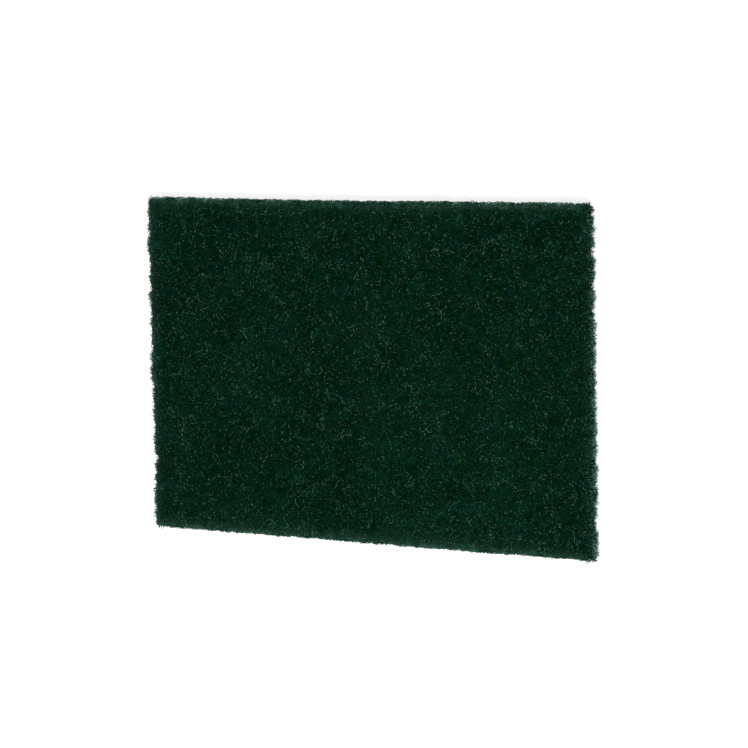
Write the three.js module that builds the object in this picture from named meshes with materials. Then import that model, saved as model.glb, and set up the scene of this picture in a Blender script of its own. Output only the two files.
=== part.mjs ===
// A nylon scouring pad: one springy slab of curled nylon fibre, bonded with resin and grit and cut to a rectangle.
// Millimetres, +Z up. It lies flat with its long side along X, the photographed face up and its underside on z = 0.
import * as THREE from "three";
import { ImprovedNoise } from "three/addons/math/ImprovedNoise.js";
import { mergeVertices } from "three/addons/utils/BufferGeometryUtils.js";

// The slab as it is cut
const padLength = 228.6;
const padWidth = 152.4;
const padThickness = 8; // over the highest tufts
const arrisRadius = 1; // where the blade's pull has worn the face's edge round
const cornerRadius = 0.8; // in plan

// The lumpy web
const tuftDepth = 2; // from the highest tufts of the upper face down to its deepest hollows
const tuftSpan = 8; // from one tuft to the next
const curlSpan = 5; // from one to the next of the smaller lumps on the tufts
const curlShare = 0.8; // how high those stand, beside the tufts
const restHollowDepth = 1.2; // hollows of the underside, above the flats that it rests on
const restShare = 0.3; // how far up the lumps are pressed flat there
const swellDepth = 0.35; // slow swell of the upper face
const swellSpan = 48;

// The cut edges
const endRaggedness = 1.1; // tufts and notches of the short ends
const sideRaggedness = 0.4; // of the long sides, which are cut cleaner
const raggedSpan = 5.5;
const cutWander = 0.35; // how far the blade strays from a straight line
const wanderSpan = 70;
const backSideHollow = 0.4; // the long side at +Y is cut hollow by this much at its middle

// Flaws of the two short ends: how far each lies from the front corner, how deep it goes in and how far it spreads.
// A depth below zero stands out.
const endFlaws = [
  { end: -1, fromFront: 30.5, depth: 0.8, spread: 6 },
  { end: -1, fromFront: 73, depth: -0.35, spread: 10 },
  { end: -1, fromFront: 3, depth: -0.45, spread: 8 },
  { end: 1, fromFront: 17, depth: 0.45, spread: 6 },
  { end: 1, fromFront: 2, depth: -0.35, spread: 6 },
];

// The mesh
const cellSize = 3.85; // of the grid on the two faces
const arrisSteps = 2;

const halfLength = padLength / 2;
const halfWidth = padWidth / 2;
const lengthCells = Math.round(padLength / cellSize);
const widthCells = Math.round(padWidth / cellSize);
const wallHeights = heightsOfTheWall();
const noise = new ImprovedNoise();

// Each use of the noise reads a layer of its own, far from the others.
const layer = { tufts: 3.3, hollows: 17.7, swell: 31.1, ends: 47.9, sides: 61.3, wander: 79.7 };

// The levels of the wall from the underside to the upper face, closer together round each arris.
function heightsOfTheWall() {
  const round = [];
  for (let i = 0; i < arrisSteps; i++) {
    round.push(arrisRadius * (1 - Math.cos((i / arrisSteps) * (Math.PI / 2))));
  }
  const upper = round.map((height) => padThickness - height).reverse();
  return [...round, arrisRadius, padThickness / 2, padThickness - arrisRadius, ...upper];
}

// How far the rounded arris draws the wall in at a height.
function arrisInset(height) {
  const fromFace = Math.min(height, padThickness - height);
  if (fromFace >= arrisRadius) return 0;
  const rise = 1 - fromFace / arrisRadius;
  return arrisRadius * (1 - Math.sqrt(1 - rise * rise));
}

// A bump of height 1 at zero, spread to either side.
function bump(distance, spread) {
  return Math.exp(-((distance / spread) ** 2));
}

function endFlaw(end, y) {
  const flaws = endFlaws.filter((flaw) => flaw.end === end);
  return flaws.reduce((sum, flaw) => sum + flaw.depth * bump(y + halfWidth - flaw.fromFront, flaw.spread), 0);
}

// How far a short end lies from the middle: end is 1 at +X and -1 at -X.
function endReach(end, y, height) {
  const ragged = endRaggedness * noise.noise(y / raggedSpan, height / raggedSpan, layer.ends + end);
  const wander = cutWander * noise.noise(y / wanderSpan, end, layer.wander);
  return halfLength - arrisInset(height) + ragged + wander - endFlaw(end, y);
}

// How far a long side lies from the middle: side is 1 at +Y and -1 at -Y.
function sideReach(side, x, height) {
  const ragged = sideRaggedness * noise.noise(x / raggedSpan, height / raggedSpan, layer.sides + side);
  const wander = cutWander * noise.noise(x / wanderSpan, side, layer.wander + 2);
  const hollow = side > 0 ? backSideHollow * (1 - (x / halfLength) ** 2) : 0;
  return halfWidth - arrisInset(height) + ragged + wander - hollow;
}

// The lumps of the web, in two sizes, between about -1 and 1.
function web(x, y, depth) {
  const tuft = noise.noise(x / tuftSpan, y / tuftSpan, depth);
  const curl = noise.noise(x / curlSpan, y / curlSpan, depth + 5);
  return tuft + curlShare * curl;
}

function upperHeight(x, y) {
  const tufts = (tuftDepth / 2) * (web(x, y, layer.tufts) - 1);
  const swell = (swellDepth / 2) * (noise.noise(x / swellSpan, y / swellSpan, layer.swell) - 1);
  return padThickness + tufts + swell;
}

// The underside is flat where the pad rests on it, with hollows between.
function lowerHeight(x, y) {
  return restHollowDepth * Math.max(0, web(x, y, layer.hollows) - restShare);
}

// Draws a corner of the plan in to its radius.
function roundCorner(point) {
  const overX = Math.abs(point.x) - (halfLength - cornerRadius);
  const overY = Math.abs(point.y) - (halfWidth - cornerRadius);
  if (overX <= 0 || overY <= 0) return;
  const out = Math.hypot(overX, overY);
  const drawn = Math.min(1, cornerRadius / out);
  point.x -= Math.sign(point.x) * overX * (1 - drawn);
  point.y -= Math.sign(point.y) * overY * (1 - drawn);
}

// Moves one point of the plain box, which is 2 by 2 across and one level to each unit up, to its place on the pad.
function shapePoint(point) {
  const height = wallHeights[Math.round(point.z)];
  const x = point.x * halfLength;
  const y = point.y * halfWidth;
  point.x *= endReach(Math.sign(point.x) || 1, y, height);
  point.y *= sideReach(Math.sign(point.y) || 1, x, height);
  roundCorner(point);
  point.z = THREE.MathUtils.lerp(lowerHeight(x, y), upperHeight(x, y), height / padThickness);
}

function padGeometry() {
  const levels = wallHeights.length - 1;
  const box = new THREE.BoxGeometry(2, 2, levels, lengthCells, widthCells, levels);
  box.translate(0, 0, levels / 2);
  box.deleteAttribute("normal");
  box.deleteAttribute("uv");
  const geometry = mergeVertices(box);
  const places = geometry.getAttribute("position");
  const point = new THREE.Vector3();
  for (let i = 0; i < places.count; i++) {
    shapePoint(point.fromBufferAttribute(places, i));
    places.setXYZ(i, point.x, point.y, point.z);
  }
  return geometry;
}

// Puts the origin under the middle of the pad's box.
function centre(geometry) {
  geometry.computeBoundingBox();
  const middle = geometry.boundingBox.getCenter(new THREE.Vector3());
  geometry.translate(-middle.x, -middle.y, -geometry.boundingBox.min.z);
  geometry.computeVertexNormals();
  return geometry;
}

const greenNylonWeb = new THREE.MeshStandardMaterial({ color: 0x0b2f1e, roughness: 0.85, metalness: 0 });

const scouringPad = new THREE.Mesh(centre(padGeometry()), greenNylonWeb);
scouringPad.name = "scouring_pad";

const pad = new THREE.Group();
pad.name = "nylon_scouring_pad";
pad.add(scouringPad);

export default pad;
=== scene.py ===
import bpy
import numpy as np
from mathutils import Matrix, Vector, noise
from mathutils.bvhtree import BVHTree


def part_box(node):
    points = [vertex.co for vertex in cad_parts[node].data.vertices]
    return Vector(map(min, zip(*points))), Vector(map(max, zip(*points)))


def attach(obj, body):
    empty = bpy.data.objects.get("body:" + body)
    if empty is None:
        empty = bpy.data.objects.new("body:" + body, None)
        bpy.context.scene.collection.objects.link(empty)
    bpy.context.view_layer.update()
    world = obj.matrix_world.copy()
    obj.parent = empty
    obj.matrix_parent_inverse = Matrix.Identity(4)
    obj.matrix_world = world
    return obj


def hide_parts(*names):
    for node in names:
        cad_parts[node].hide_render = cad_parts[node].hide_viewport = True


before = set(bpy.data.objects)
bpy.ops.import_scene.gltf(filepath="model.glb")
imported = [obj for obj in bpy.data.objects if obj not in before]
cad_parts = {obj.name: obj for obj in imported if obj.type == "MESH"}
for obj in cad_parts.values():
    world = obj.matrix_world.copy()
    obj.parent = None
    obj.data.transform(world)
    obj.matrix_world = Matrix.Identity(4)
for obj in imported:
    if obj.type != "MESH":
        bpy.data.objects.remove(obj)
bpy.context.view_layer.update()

# The felted body
# The pad is one slab of crimped nylon staple, needled and sprayed with resin and grit until it sets as a
# springy web. The solid gives its outline, lumps and hollows, and the body here adds the felted grain.

pad_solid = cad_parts["scouring_pad"]
pad_low, pad_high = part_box("scouring_pad")

FELT_GRID = 0.00118  # the side of one square of the mesh
FELT_RIDGE = 0.0027  # from one felted ridge to the next
FELT_DEPTH = 0.0005
FELT_LUMP = 0.0046
FELT_LUMP_DEPTH = 0.00025
DYED = 0.5  # the shade at which the dye shows full, between the deep green of painted shade at 0 and the pale coat with painted highlights at 1
# Painted shade of the felt: its shade at the grain's mean height, and how fast it rises with the grain
FELT_SHADE = 0.62 * DYED
FELT_SHADE_RISE = 1.1 * DYED

# How far in from the ends and the sides the web is too open to be felted
OPEN_RIM = np.array((0.00105, 0.00065))

# How pale each cut edge is painted, as painted rim light, at its upper rim and at the floor, and how far in
# over the faces
LEFT_END = (1.4, 0.8)
LEFT_REACH = 0.0013
RIGHT_END = (0.2, 0.7)
RIGHT_REACH = 0.001
FRONT_SIDE = (0.6, 0.6)
FRONT_REACH = 0.0018
BACK_SIDE = (1.0, 0.7)
BACK_REACH = 0.0013
RIM_TUFT = 0.0035  # from one tuft of stronger painted rim light along a side's rim to the next
RIM_TUFT_SHARE = 1.2
# A weak painted rim light that spreads far in over the faces from the cut edges
RIM_LIGHT_ON_FACE = 0.03
RIM_LIGHT_FACE_REACH = 0.006
FRINGE = 1.2  # painted rim light added where a fibre stands right out of the cut
FRINGE_LENGTH = 0.0013


def laid_out_again(solid, grid):
    """The solid's surface as an even mesh of small squares."""
    copy = solid.copy()
    copy.data = solid.data.copy()
    bpy.context.scene.collection.objects.link(copy)
    even = copy.modifiers.new("even", "REMESH")
    even.mode = "VOXEL"
    even.voxel_size = grid
    graph = bpy.context.evaluated_depsgraph_get()
    mesh = bpy.data.meshes.new_from_object(copy.evaluated_get(graph))
    bpy.data.objects.remove(copy)
    mesh.materials.clear()
    return mesh


def read_points(items, field):
    values = np.empty(len(items) * 3, np.float32)
    items.foreach_get(field, values)
    return values.reshape(-1, 3).astype(float)


def felt_height(place):
    """Height of the felted grain at a place, in metres."""
    fine = noise.noise(Vector(place) / FELT_RIDGE)
    coarse = noise.noise(Vector(place) / FELT_LUMP + Vector((31, 7, 3)))
    return FELT_DEPTH * (0.3 - 2 * abs(fine)) + FELT_LUMP_DEPTH * coarse


def hold_attribute(mesh, name, values):
    layer = mesh.attributes.new(name, "FLOAT", "POINT")
    layer.data.foreach_set("value", np.asarray(values, np.float32))


def between(pair, share):
    """The value that far on from the first of the pair to the second."""
    return pair[0] + (pair[1] - pair[0]) * share


def rim_light_share(points):
    """How much painted rim light the web gets at the cut edges: most in the fringe, falling fast and then
    slowly over the faces.
    """
    inside = np.array(pad_high)[:2] - OPEN_RIM - np.abs(points[:, :2])
    beside_end = inside[:, 0] < inside[:, 1]
    inside = inside.min(1)
    standing_out = np.clip(-inside / FRINGE_LENGTH, 0, 1)
    inside = np.maximum(inside, 0)
    low = np.clip(1 - points[:, 2] / pad_high[2], 0, 1)
    tuft = np.array([noise.noise(Vector(point) / RIM_TUFT) for point in points])
    left = points[:, 0] < 0
    front = points[:, 1] < 0
    at_end = np.where(left, between(LEFT_END, low), between(RIGHT_END, low**2))
    at_side = np.where(front, between(FRONT_SIDE, low), between(BACK_SIDE, low))
    at_side = at_side * (1 + RIM_TUFT_SHARE * tuft)
    at_cut = np.where(beside_end, at_end, at_side)
    end_reach = np.where(left, LEFT_REACH, RIGHT_REACH)
    side_reach = np.where(front, FRONT_REACH, BACK_REACH)
    reach = np.where(beside_end, end_reach, side_reach)
    # Painted rim light, weak and wide, over the faces near the cut edges
    wear_and_rim_light = RIM_LIGHT_ON_FACE * np.exp(-inside / RIM_LIGHT_FACE_REACH)
    return at_cut * np.exp(-inside / reach) + wear_and_rim_light + FRINGE * standing_out


felt = laid_out_again(pad_solid, FELT_GRID)
felt_points = read_points(felt.vertices, "co")
felt_normals = read_points(felt.vertices, "normal")
felt_lift = np.array([felt_height(point) for point in felt_points])
felt_points += felt_normals * felt_lift[:, None]
felt_points[:, :2] *= 1 - OPEN_RIM / np.array(pad_high)[:2]
felt_points[:, 2] = np.maximum(felt_points[:, 2], pad_low[2])
felt.vertices.foreach_set("co", felt_points.astype(np.float32).ravel())
felt.polygons.foreach_set("use_smooth", np.ones(len(felt.polygons), bool))
felt.update()
# Painted shade: the felt is darker where its grain lies low, in the hollows
hold_attribute(felt, "shade", np.clip(FELT_SHADE + FELT_SHADE_RISE * felt_lift / FELT_DEPTH, 0, DYED))
hold_attribute(felt, "painted_rim_light", rim_light_share(felt_points))
felt_body = bpy.data.objects.new("felted_body", felt)
bpy.context.scene.collection.objects.link(felt_body)


def linear(red, green, blue):
    """A colour written in sRGB steps of 255, as Blender's linear numbers."""
    steps = np.array([red, green, blue]) / 255
    low = steps / 12.92
    high = ((steps + 0.055) / 1.055) ** 2.4
    return (*np.where(steps <= 0.04045, low, high), 1)


class Finish:
    """A node material under construction: each call adds one node and wires it."""

    def __init__(self, name):
        self.material = bpy.data.materials.new(name)
        self.material.use_nodes = True
        self.nodes = self.material.node_tree.nodes
        self.wires = self.material.node_tree.links
        self.shader = self.nodes["Principled BSDF"]
        self.place = self.nodes.new("ShaderNodeTexCoord").outputs["Object"]

    def noise(self, size, detail=2.0):
        node = self.nodes.new("ShaderNodeTexNoise")
        node.inputs["Scale"].default_value = 1 / size
        node.inputs["Detail"].default_value = detail
        self.wires.new(self.place, node.inputs["Vector"])
        return node.outputs["Fac"]

    def strands(self, size, width):
        """Thin winding lines in three layers, as of fibres that lie every way."""
        lines = []
        for layer in range(3):
            field = self.nodes.new("ShaderNodeTexNoise")
            field.noise_dimensions = "4D"
            field.inputs["W"].default_value = 3.7 * layer
            field.inputs["Scale"].default_value = 1 / size
            field.inputs["Detail"].default_value = 0.5
            self.wires.new(self.place, field.inputs["Vector"])
            off_line = self.reckon("ABSOLUTE", self.reckon("SUBTRACT", field.outputs["Fac"], 0.5), 0.0)
            lines.append(self.spread(off_line, 0.0, width, 1.0, 0.0))
        return self.reckon("MAXIMUM", self.reckon("MAXIMUM", lines[0], lines[1]), lines[2])

    def reckon(self, operation, first, second):
        node = self.nodes.new("ShaderNodeMath")
        node.operation = operation
        for socket, value in ((node.inputs[0], first), (node.inputs[1], second)):
            if isinstance(value, float):
                socket.default_value = value
            else:
                self.wires.new(value, socket)
        return node.outputs[0]

    def held(self, name):
        node = self.nodes.new("ShaderNodeAttribute")
        node.attribute_name = name
        return node.outputs["Fac"]

    def spread(self, value, low, high, to_low=0.0, to_high=1.0):
        node = self.nodes.new("ShaderNodeMapRange")
        self.wires.new(value, node.inputs["Value"])
        node.inputs["From Min"].default_value = low
        node.inputs["From Max"].default_value = high
        node.inputs["To Min"].default_value = to_low
        node.inputs["To Max"].default_value = to_high
        return node.outputs["Result"]

    def blend(self, share, under, over):
        node = self.nodes.new("ShaderNodeMix")
        node.data_type = "RGBA"
        self.wires.new(share, node.inputs["Factor"])
        for socket, colour in ((node.inputs["A"], under), (node.inputs["B"], over)):
            if isinstance(colour, tuple):
                socket.default_value = colour
            else:
                self.wires.new(colour, socket)
        return node.outputs["Result"]

    def bump(self, height, strength, distance):
        node = self.nodes.new("ShaderNodeBump")
        node.inputs["Strength"].default_value = strength
        node.inputs["Distance"].default_value = distance
        self.wires.new(height, node.inputs["Height"])
        self.wires.new(node.outputs["Normal"], self.shader.inputs["Normal"])


DYE_DRIFT = 0.006  # sizes of the finish's patterns, in metres
STRAND_SPAN = 0.0018
STRAND_WIDTH = 0.022  # as a share of the noise's range
GRIT = 0.0006
RUBBED_PATCH = 0.025
COAT_GRAIN = 0.00035
COAT_GRAIN_DEPTH = 0.0001
BACKLIT_FRINGE = (170, 208, 192)  # painted backlight on the loosest fibres of the fringe


def fibre_finish(name, deep, green, teal, pale, painted_rim_light, roughness, gloss, wear_and_rim_light, felted):
    """Dyed, resin-coated nylon: green drifting to teal, darker with painted shade where it is buried, a pale
    coat partly painted as highlights, and painted rim light at the cut.
    """
    finish = Finish(name)
    drift = finish.spread(finish.noise(DYE_DRIFT, 1.0), 0.42, 0.66)
    dyed = finish.blend(drift, green, teal)
    shade = finish.held("shade")
    shaded = finish.blend(finish.spread(shade, 0.0, DYED), deep, dyed)
    # Painted rim light at the cut edges, as held by each vertex
    held_rim_light = finish.held("painted_rim_light")
    rim_glow_share = finish.spread(held_rim_light, 0.0, 2.0, 0.0, 0.8)
    if felted:
        strands = finish.strands(STRAND_SPAN, STRAND_WIDTH)
        coated = finish.blend(finish.reckon("MULTIPLY", strands, 0.22), shaded, pale)
        rim_glow_share = finish.reckon("MULTIPLY", rim_glow_share, finish.spread(strands, 0.0, 1.0, 0.6, 1.4))
    else:
        # The pale coat: partly the fibres' real resin coat, partly painted highlights
        coated = finish.blend(finish.spread(shade, DYED, 1.0), shaded, pale)
    # Pale specks: partly the real grit, partly painted glints
    specks = finish.spread(finish.noise(GRIT, 1.0), 0.58, 0.7, 0.0, 0.12)
    gritty = finish.blend(specks, coated, pale)
    rubbing = finish.spread(finish.noise(RUBBED_PATCH, 1.0), 0.35, 0.65, 0.0, wear_and_rim_light)
    rubbed = finish.blend(rubbing, gritty, pale)
    with_rim_light = finish.blend(rim_glow_share, rubbed, painted_rim_light)
    # Painted backlight on the fibres that stand farthest out of the cut
    with_backlit_fringe = finish.blend(finish.spread(held_rim_light, 0.9, 2.0, 0.0, 0.8), with_rim_light, linear(*BACKLIT_FRINGE))
    finish.wires.new(with_backlit_fringe, finish.shader.inputs["Base Color"])
    finish.shader.inputs["Roughness"].default_value = roughness
    finish.shader.inputs["Specular IOR Level"].default_value = gloss
    finish.bump(finish.noise(COAT_GRAIN), 0.5, COAT_GRAIN_DEPTH)
    return finish.material


felt_finish = fibre_finish(
    "felted_web",
    deep=linear(0, 14, 3),
    green=linear(0, 35, 15),
    teal=linear(0, 33, 26),
    pale=linear(34, 78, 56),
    painted_rim_light=linear(98, 152, 130),
    roughness=0.6,
    gloss=0.005,
    wear_and_rim_light=0.06,
    felted=True,
)
felt.materials.append(felt_finish)
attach(felt_body, "root")
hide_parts("scouring_pad")

# The crimped fibres of the faces
# Coarse nylon staple, crimped like wool before it is carded: it comes up out of the felt in small loops and
# curls and dives back in, and longer runs lie over them. Resin coats each fibre and glues it at crossings.

FIBRE_RADIUS = 0.00019
CURL_LENGTH = 0.0023
CURL_POINTS = 4
CURL_TURN = 750  # radians a metre
DASH_LENGTH = 0.0015
DASH_POINTS = 3
RUN_LENGTH = 0.0075
RUN_POINTS = 10
RUN_TURN = 500
FACE_RISE = 0.00042
SUNK_END = 2.0 * FIBRE_RADIUS  # how far each end lies below the felt
LOOSE_LEVEL = (1.2, 1.8)  # the two weights of the beta law by which some curls lie higher than others
PALE_SHARE = 0.4  # how many of the fibres are pale, partly for their resin coat and partly as painted glints
PALE_COAT = (0.55, 1.0)
DULL_COAT = 0.55
SPAN_SHADE = (0.45, 1.0)  # painted shade where a fibre dives in, and painted highlight at the top of its arch
LEVEL_SHADE = (0.7, 1.0)  # painted shade of the lowest fibres, and of the highest
CLUMP = 0.0032  # from one clump of the pale fibres to the next
CLUMP_SHARE = 0.9
UPPER_PIECES = 3
TRIANGLES_A_PIECE = 190000
RUNS_A_PIECE = 1200
CURLS_A_PIECE = 6000

felt_surface = BVHTree.FromPolygons(
    [Vector(point) for point in felt_points], [face.vertices[:] for face in felt.polygons]
)
patch_centres = read_points(felt.polygons, "center")
patch_normals = read_points(felt.polygons, "normal")
patch_areas = np.empty(len(felt.polygons))
felt.polygons.foreach_get("area", patch_areas)


def tube_plan(points):
    """Corners of one closed three-sided tube over that many path points, and their places on its own map."""
    rings = points - 2
    corners, places = [], []
    for side in range(3):
        other = (side + 1) % 3
        left, right, middle = side / 3, (side + 1) / 3, (side + 0.5) / 3
        corners.append((0, 1 + other, 1 + side))
        places.append(((middle, 0), (right, 1 / (points - 1)), (left, 1 / (points - 1))))
        for ring in range(rings - 1):
            a, b = 1 + 3 * ring + side, 1 + 3 * ring + other
            near, far = (ring + 1) / (points - 1), (ring + 2) / (points - 1)
            corners.append((a, b, b + 3))
            places.append(((left, near), (right, near), (right, far)))
            corners.append((a, b + 3, a + 3))
            places.append(((left, near), (right, far), (left, far)))
        last = 1 + 3 * (rings - 1)
        corners.append((last + side, last + other, 1 + 3 * rings))
        near = rings / (points - 1)
        places.append(((left, near), (right, near), (middle, 1)))
    return np.array(corners), np.array(places)


def unit(vectors):
    return vectors / np.maximum(np.linalg.norm(vectors, axis=-1, keepdims=True), 1e-12)


def curled_paths(random, starts, normals, length, points, turning):
    """Paths that lie level with the surface round their starts and curl."""
    count = len(starts)
    across = unit(np.cross(normals, unit(random.normal(size=(count, 3)))))
    along = np.cross(normals, across)
    step = length * random.uniform(0.7, 1.3, count) / (points - 1)
    turn = random.normal(0, turning, count)[:, None]
    turn = turn + random.normal(0, turning * 0.6, (count, points)).cumsum(1)
    angle = np.cumsum(turn * step[:, None], axis=1)
    flat = np.stack([np.cos(angle), np.sin(angle)], -1) * step[:, None, None]
    flat = np.cumsum(flat, axis=1)
    flat -= flat.mean(1, keepdims=True)
    return starts[:, None] + flat[..., :1] * across[:, None] + flat[..., 1:] * along[:, None]


def settled(paths):
    """The nearest points of the felt to those of the paths, and its normals there."""
    landed = np.empty_like(paths)
    facing = np.empty_like(paths)
    for index in np.ndindex(paths.shape[:2]):
        spot, normal, _, _ = felt_surface.find_nearest(Vector(paths[index]))
        landed[index] = spot
        facing[index] = normal
    return landed, facing


def tubes(centres, upward, radii):
    """Vertices of three-sided tubes along the paths, pointed at both ends, and none below the floor."""
    centres[..., 2] = np.maximum(centres[..., 2], radii)
    forward = unit(np.gradient(centres, axis=1))
    sideways = unit(np.cross(forward, upward))
    upward = np.cross(sideways, forward)
    rings = []
    for side in range(3):
        turn = 2 * np.pi * side / 3
        rings.append(centres + radii[..., None] * (np.cos(turn) * upward + np.sin(turn) * sideways))
    rings = np.stack(rings, 2)[:, 1:-1]
    count = len(centres)
    body = rings.reshape(count, -1, 3)
    return np.concatenate([centres[:, :1], body, centres[:, -1:]], axis=1)


def by_vertex(values):
    """Values by path point, as values by vertex of the tube."""
    body = np.repeat(values[:, 1:-1], 3, axis=1)
    return np.concatenate([values[:, :1], body, values[:, -1:]], axis=1)


def fibre_mesh(name, groups):
    """One mesh from groups of tubes: (vertices by fibre, shade by vertex, path points)."""
    places, corners, shades, maps = [], [], [], []
    begin = fibre = 0
    cells = int(np.ceil(sum(len(group[0]) for group in groups) ** 0.5))
    for vertices, shade, points in groups:
        count, size = vertices.shape[:2]
        plan, plan_map = tube_plan(points)
        starts = begin + size * np.arange(count)
        corners.append((starts[:, None, None] + plan).reshape(-1, 3))
        number = fibre + np.arange(count)
        cell = np.stack([number % cells, number // cells], -1)
        maps.append(((cell[:, None, None] + 0.1 + 0.8 * plan_map) / cells).reshape(-1, 2))
        places.append(vertices.reshape(-1, 3))
        shades.append(shade.ravel())
        begin += count * size
        fibre += count
    places, corners = np.concatenate(places), np.concatenate(corners)
    mesh = bpy.data.meshes.new(name)
    mesh.vertices.add(len(places))
    mesh.vertices.foreach_set("co", places.astype(np.float32).ravel())
    mesh.loops.add(3 * len(corners))
    mesh.loops.foreach_set("vertex_index", corners.astype(np.int32).ravel())
    mesh.polygons.add(len(corners))
    mesh.polygons.foreach_set("loop_start", np.arange(0, 3 * len(corners), 3, dtype=np.int32))
    mesh.polygons.foreach_set("use_smooth", np.ones(len(corners), bool))
    mesh.update(calc_edges=True)
    bake_map = mesh.uv_layers.new(name="OFBake")
    bake_map.uv.foreach_set("vector", np.concatenate(maps).astype(np.float32).ravel())
    hold_attribute(mesh, "shade", np.concatenate(shades))
    hold_attribute(mesh, "painted_rim_light", rim_light_share(places))
    return mesh


def scattered(random, count, keep):
    """Places spread evenly over the patches of felt that keep picks, with the normals there."""
    chance = patch_areas * keep
    picked = random.choice(len(chance), count, p=chance / chance.sum())
    jitter = random.uniform(-0.5, 0.5, (count, 3)) * FELT_GRID
    return patch_centres[picked] + jitter, patch_normals[picked]


def curls(random, count, keep, length, points, turning, rise, arches):
    """Fibres that come up out of the felt and dive back in, with that many arches each."""
    starts, normals = scattered(random, count, keep)
    landed, facing = settled(curled_paths(random, starts, normals, length, points, turning))
    along = np.linspace(0, 1, points)
    arch = np.abs(np.sin(np.pi * arches * along))
    level = random.beta(*LOOSE_LEVEL, count)
    lift = rise * (level[:, None] * (0.35 + arch) + 0.25 * arch) - 0.2 * rise
    lift[:, 0] = lift[:, -1] = -SUNK_END
    thick = FIBRE_RADIUS * random.uniform(0.7, 1.2, count)[:, None] * np.ones(points)
    vertices = tubes(landed + facing * lift[..., None], facing, thick)
    clump = np.array([noise.noise(Vector(start) / CLUMP) for start in starts])
    bright = random.random(count) < np.clip(PALE_SHARE * (1 + CLUMP_SHARE * clump), 0, 1)
    coat = np.where(bright, random.uniform(*PALE_COAT, count), random.beta(2, 2, count) * DULL_COAT)
    # Painted shade and highlight: each fibre darker where it dives in and where it lies low, lighter at the
    # top of its arch
    shade = coat[:, None] * between(SPAN_SHADE, arch) * between(LEVEL_SHADE, level[:, None])
    return vertices, by_vertex(shade), points


def fibre_piece(name, mesh, finish):
    piece = bpy.data.objects.new(name, mesh)
    bpy.context.scene.collection.objects.link(piece)
    mesh.materials.append(finish)
    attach(piece, "root")
    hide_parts("scouring_pad")


nylon_finish = fibre_finish(
    "crimped_nylon",
    deep=linear(0, 27, 10),
    green=linear(0, 49, 25),
    teal=linear(0, 45, 38),
    pale=linear(90, 140, 114),
    painted_rim_light=linear(108, 165, 142),
    roughness=0.35,
    gloss=0.02,
    wear_and_rim_light=0.02,
    felted=False,
)

upper = patch_normals[:, 2] > 0.4
run_triangles = RUNS_A_PIECE * len(tube_plan(RUN_POINTS)[0])
curl_triangles = CURLS_A_PIECE * len(tube_plan(CURL_POINTS)[0])
dashes_a_piece = (TRIANGLES_A_PIECE - run_triangles - curl_triangles) // len(tube_plan(DASH_POINTS)[0])
for layer in range(UPPER_PIECES):
    random = np.random.default_rng(100 + layer)
    groups = [
        curls(random, CURLS_A_PIECE, upper, CURL_LENGTH, CURL_POINTS, CURL_TURN, FACE_RISE, 1),
        curls(random, RUNS_A_PIECE, upper, RUN_LENGTH, RUN_POINTS, RUN_TURN, FACE_RISE, 3),
        curls(random, dashes_a_piece, upper, DASH_LENGTH, DASH_POINTS, CURL_TURN, FACE_RISE, 1),
    ]
    upper_mesh = fibre_mesh(f"upper_fibres_{layer + 1}", groups)
    fibre_piece(f"upper_fibres_{layer + 1}", upper_mesh, nylon_finish)

# The cut edges
# Where the blade went through the web, the fibres of the wall are laid bare: curls that it pushed aside, and
# cut ends that spring back out of the cut, more of them on the short ends.

END_RISE = 0.0011  # how far the curls stand off the short ends
SIDE_RISE = 0.0008
STUB_RADIUS = 0.00012
END_STUB = 0.0028  # the longest cut ends there
SIDE_STUB = 0.0013
STUB_POINTS = 4
HOOK_POINTS = 5
HOOK_RADIUS = 1.1 * STUB_RADIUS
HOOK_WIDTH = (0.0005, 0.0011)
TUFT_SPAN = 0.003  # from one tuft of loose ends to the next
CORNER_SPAN = 0.0022

wall = np.abs(patch_normals[:, 2]) <= 0.55
to_end = np.abs(patch_normals[:, 0]) >= np.abs(patch_normals[:, 1])
short_end = wall & to_end
long_side = wall & ~to_end
from_corner = (np.array(pad_high)[:2] - OPEN_RIM - np.abs(patch_centres[:, :2])).max(1)
front_corner = wall & (from_corner < CORNER_SPAN) & (patch_centres[:, 1] < 0)


def tufted(patches):
    """Weights that gather the fibres of those patches in tufts."""
    value = np.array([noise.noise(Vector(point) / TUFT_SPAN) for point in patch_centres[patches]])
    weight = np.zeros(len(patch_centres))
    weight[patches] = np.clip(0.35 + 1.8 * value, 0.03, 1.5)
    return weight


def rooted(random, count, keep):
    """Where that many loose ends leave the felt, which way is out of it, and which way each leans."""
    starts, _ = scattered(random, count, keep)
    landed, facing = settled(starts[:, None])
    out = facing[:, 0]
    lean = unit(np.cross(out, random.normal(size=(count, 3))))
    return landed[:, 0], out, lean


def cut_ends(random, count, keep, length):
    """Short ends that stand out of the cut and bend over."""
    root, out, lean = rooted(random, count, keep)
    reach = length * random.uniform(0.3, 1.0, count) ** 1.3
    along = np.linspace(-0.5, 1, STUB_POINTS)
    tilt = random.uniform(0.1, 0.8, count)
    bend = random.uniform(-0.5, 0.9, count)
    centres = root[:, None] + out[:, None] * (reach[:, None] * along)[..., None]
    sideways = reach[:, None] * (tilt[:, None] * along + bend[:, None] * along * np.abs(along))
    centres = centres + lean[:, None] * sideways[..., None]
    thick = STUB_RADIUS * random.uniform(0.8, 1.2, count)[:, None] * np.ones(STUB_POINTS)
    upward = np.repeat(unit(np.cross(lean, out))[:, None], STUB_POINTS, axis=1)
    vertices = tubes(centres, upward, thick)
    # Painted rim light: each end paler toward its tip, out in the fringe
    shade = random.uniform(0.25, 0.8, count)[:, None] * np.linspace(0.5, 1.1, STUB_POINTS)
    return vertices, by_vertex(np.clip(shade, 0, 1)), STUB_POINTS


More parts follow.
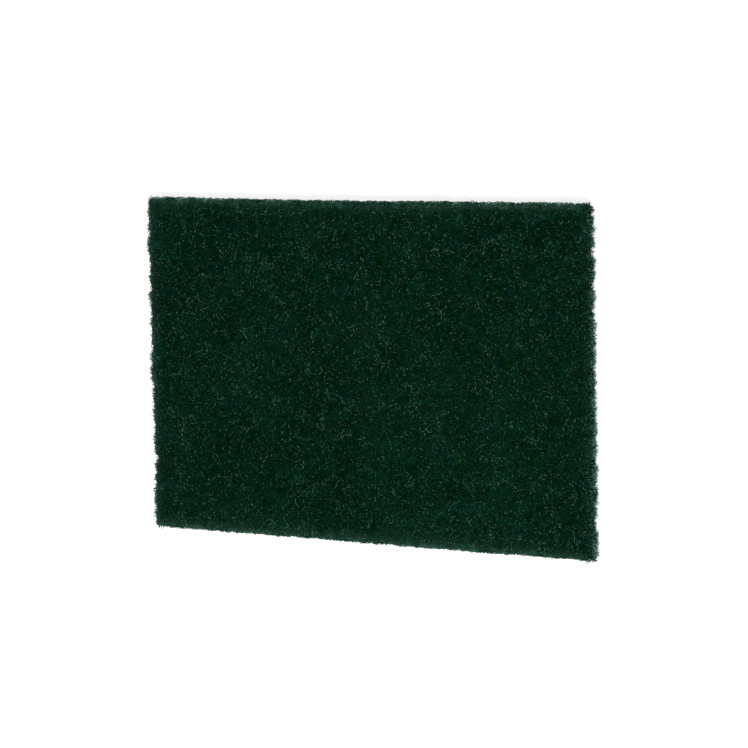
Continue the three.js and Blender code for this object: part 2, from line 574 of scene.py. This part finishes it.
def hooks(random, count, keep, reach):
    """Loops that stand out of the cut and turn back into it."""
    root, out, lean = rooted(random, count, keep)
    aside = np.cross(out, lean)
    turn = np.linspace(-0.15, 1.15, HOOK_POINTS) * np.pi
    high = reach * random.uniform(0.3, 1.0, count)
    wide = random.uniform(*HOOK_WIDTH, count)
    skew = random.normal(0, 0.35, count) * high
    centres = root[:, None] + out[:, None] * (high[:, None] * np.sin(turn))[..., None]
    centres = centres + lean[:, None] * (wide[:, None] * np.cos(turn))[..., None]
    centres = centres + aside[:, None] * (skew[:, None] * np.sin(turn))[..., None]
    thick = HOOK_RADIUS * random.uniform(0.8, 1.2, count)[:, None] * np.ones(HOOK_POINTS)
    upward = np.repeat(aside[:, None], HOOK_POINTS, axis=1)
    vertices = tubes(centres, upward, thick)
    # Painted rim light: each hook paler where it stands farthest out of the cut
    shade = random.uniform(0.2, 0.75, count)[:, None] * (0.5 + 0.6 * np.clip(np.sin(turn), 0, 1))
    return vertices, by_vertex(shade), HOOK_POINTS


random = np.random.default_rng(200)
groups = [
    curls(random, 1600, short_end, CURL_LENGTH, CURL_POINTS, CURL_TURN, END_RISE, 1),
    curls(random, 2200, long_side, CURL_LENGTH, CURL_POINTS, CURL_TURN, SIDE_RISE, 1),
    curls(random, 2400, short_end, DASH_LENGTH, DASH_POINTS, CURL_TURN, END_RISE, 1),
    curls(random, 3200, long_side, DASH_LENGTH, DASH_POINTS, CURL_TURN, SIDE_RISE, 1),
    hooks(random, 1300, tufted(short_end), END_STUB * 0.8),
    hooks(random, 1100, tufted(long_side), SIDE_STUB * 0.8),
    cut_ends(random, 3200, tufted(short_end), END_STUB),
    cut_ends(random, 2800, tufted(long_side), SIDE_STUB),
    hooks(random, 60, front_corner, END_STUB),
    cut_ends(random, 120, front_corner, SIDE_STUB),
]
edge_mesh = fibre_mesh("cut_edge_fibres", groups)
fibre_piece("cut_edge_fibres", edge_mesh, nylon_finish)

# The fibres of the underside
# The same crimped and resin-coated nylon as on the upper face. Its loops are a little longer and lie lower,
# because the pad's own weight presses them flat where it rests.

UNDER_CURLS = 8000
UNDER_LENGTH = 1.1 * CURL_LENGTH
UNDER_RISE = 0.8 * FACE_RISE

lower = patch_normals[:, 2] < -0.4
random = np.random.default_rng(300)
groups = [curls(random, UNDER_CURLS, lower, UNDER_LENGTH, CURL_POINTS, CURL_TURN, UNDER_RISE, 1)]
under_mesh = fibre_mesh("underside_fibres", groups)
fibre_piece("underside_fibres", under_mesh, nylon_finish)

# The floor
# A pale sheet of matt paper that runs on past the view. It glows to the camera alone, by as much as brings
# it to white, so it lights nothing and still shows the pad's own soft shadow.

FLOOR_REACH = 4
FLOOR_TONE = 0.8
GLOW_SPAN = (0.3, 1.6)  # how far from the middle the glow is weakest and strongest
GLOW = (0.62, 0.85)

floor_mesh = bpy.data.meshes.new("paper_sweep")
floor_sides = ((-1, -1), (1, -1), (1, 1), (-1, 1))
floor_corners = [(FLOOR_REACH * across, FLOOR_REACH * along, 0) for across, along in floor_sides]
floor_mesh.from_pydata(floor_corners, [], [(0, 1, 2, 3)])
floor = bpy.data.objects.new("paper_sweep", floor_mesh)
bpy.context.scene.collection.objects.link(floor)
paper = bpy.data.materials.new("white_paper")
paper.use_nodes = True
paper_nodes = paper.node_tree.nodes
paper_wires = paper.node_tree.links
paper_shader = paper_nodes["Principled BSDF"]
paper_shader.inputs["Base Color"].default_value = (FLOOR_TONE, FLOOR_TONE, FLOOR_TONE, 1)
paper_shader.inputs["Roughness"].default_value = 0.9
paper_shader.inputs["Specular IOR Level"].default_value = 0.0
floor_place = paper_nodes.new("ShaderNodeTexCoord")
away = paper_nodes.new("ShaderNodeVectorMath")
away.operation = "LENGTH"
farther = paper_nodes.new("ShaderNodeMapRange")
farther.inputs["From Min"].default_value = GLOW_SPAN[0]
farther.inputs["From Max"].default_value = GLOW_SPAN[1]
farther.inputs["To Min"].default_value = GLOW[0]
farther.inputs["To Max"].default_value = GLOW[1]
paper_wires.new(floor_place.outputs["Object"], away.inputs[0])
paper_wires.new(away.outputs["Value"], farther.inputs["Value"])
seen = paper_nodes.new("ShaderNodeLightPath")
glow = paper_nodes.new("ShaderNodeEmission")
glow_share = paper_nodes.new("ShaderNodeMath")
glow_share.operation = "MULTIPLY"
paper_wires.new(farther.outputs["Result"], glow_share.inputs[1])
both = paper_nodes.new("ShaderNodeAddShader")
paper_wires.new(seen.outputs["Is Camera Ray"], glow_share.inputs[0])
paper_wires.new(glow_share.outputs[0], glow.inputs["Strength"])
paper_wires.new(paper_shader.outputs[0], both.inputs[0])
paper_wires.new(glow.outputs[0], both.inputs[1])
paper_wires.new(both.outputs[0], paper_nodes["Material Output"].inputs["Surface"])
floor_mesh.materials.append(paper)

# The lights
# An even pale room, a softbox in front on the right as the key, and a weaker one behind on the left to fill.
# The room is plain white to the camera, and at its own level for everything else.

ROOM_LEVEL = 0.3

world = bpy.data.worlds.new("studio")
bpy.context.scene.world = world
world.use_nodes = True
world_nodes = world.node_tree.nodes
world_wires = world.node_tree.links
plain = world_nodes["Background"]
plain.inputs["Color"].default_value = (1, 1, 1, 1)
plain.inputs["Strength"].default_value = ROOM_LEVEL
white = world_nodes.new("ShaderNodeBackground")
white.inputs["Color"].default_value = (1, 1, 1, 1)
white.inputs["Strength"].default_value = 1.0
path = world_nodes.new("ShaderNodeLightPath")
pick = world_nodes.new("ShaderNodeMixShader")
world_wires.new(path.outputs["Is Camera Ray"], pick.inputs[0])
world_wires.new(plain.outputs[0], pick.inputs[1])
world_wires.new(white.outputs[0], pick.inputs[2])
world_wires.new(pick.outputs[0], world_nodes["World Output"].inputs["Surface"])


def softbox(name, place, size, watts):
    """A square lamp, turned to the middle of the pad."""
    lamp = bpy.data.lights.new(name, "AREA")
    lamp.shape = "SQUARE"
    lamp.size = size
    lamp.energy = watts
    holder = bpy.data.objects.new(name, lamp)
    holder.location = place
    holder.rotation_euler = (-Vector(place)).to_track_quat("-Z", "Y").to_euler()
    bpy.context.scene.collection.objects.link(holder)


softbox("key_softbox", place=(0.38, -0.5, 0.88), size=0.45, watts=8.7)
softbox("fill_softbox", place=(-0.7, 0.6, 1.4), size=0.6, watts=4.5)

# The camera
# A long lens that looks down on the pad from above its right end, as the photograph sees the pad's face.
# Its three axes point right, up and back. The fine fibres keep their grain only without the denoiser.

CAMERA_PLACE = (0.71978, 0.14731, 1.14814)
CAMERA_AXES = ((0.8492, -0.01947, -0.52771), (-0.04103, 0.99387, -0.1027), (0.52647, 0.10887, 0.84319))
LENS = 148.04  # millimetres, on a sensor 36 wide

camera_data = bpy.data.cameras.new("camera")
camera_data.sensor_width = 36
camera_data.lens = LENS
camera = bpy.data.objects.new("camera", camera_data)
turn = Matrix(CAMERA_AXES).transposed()
camera.matrix_world = Matrix.Translation(Vector(CAMERA_PLACE)) @ turn.to_4x4()
bpy.context.scene.collection.objects.link(camera)
bpy.context.scene.camera = camera
bpy.context.scene.view_settings.view_transform = "Standard"
bpy.context.scene.cycles.use_denoising = False
